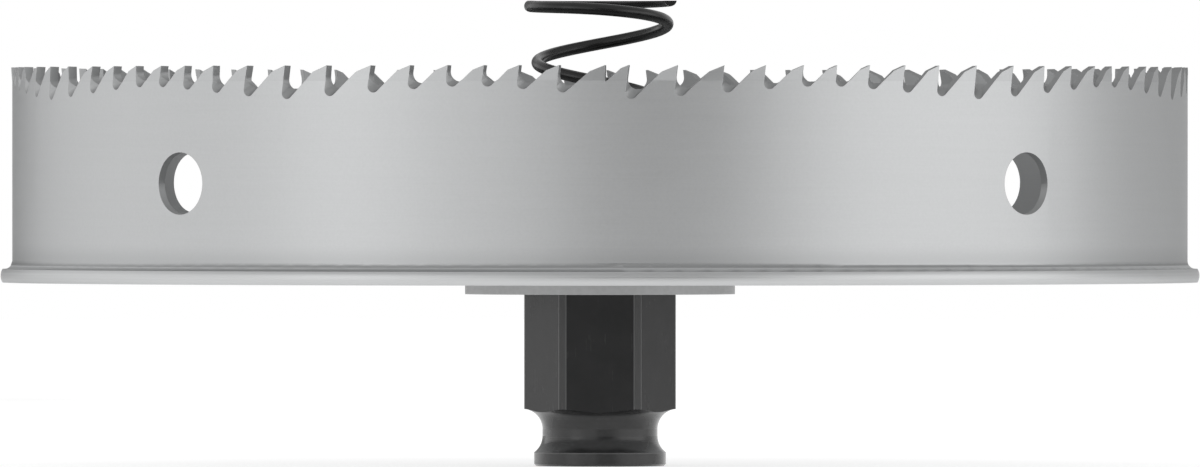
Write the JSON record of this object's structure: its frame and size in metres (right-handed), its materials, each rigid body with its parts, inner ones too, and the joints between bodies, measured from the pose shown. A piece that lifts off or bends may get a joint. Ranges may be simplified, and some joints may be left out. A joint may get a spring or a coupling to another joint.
{
  "type": "hole saw",
  "caption": "Shallow toothed steel cup on a rimmed base plate, with a grooved black hex drive shank below and a conical ejector spring inside.",
  "frame": {"origin": "centre of the shank's flat end face, on which the saw stands", "axes": "+Z along the saw's axis from the shank to the teeth, -Y towards the picture's camera, with a flat of the hexagon facing -Y"},
  "size_m": [0.1548, 0.1548, 0.0601],
  "materials": {
    "band_steel": "satin steel, finely brushed around the cup",
    "plate_steel": "satin steel, turned",
    "washer_steel": "plain zinc-plated steel",
    "black_shank": "black oxide on turned steel, satin",
    "nut_steel": "plain zinc-plated steel",
    "black_spring": "black oiled spring wire"
  },
  "bodies": {
    "root": {"saw_band": "band_steel", "base_plate": "plate_steel", "backing_washer": "washer_steel", "hex_shank": "black_shank", "lock_nut": "nut_steel", "ejector_spring": "black_spring"}
  },
  "joints": []
}
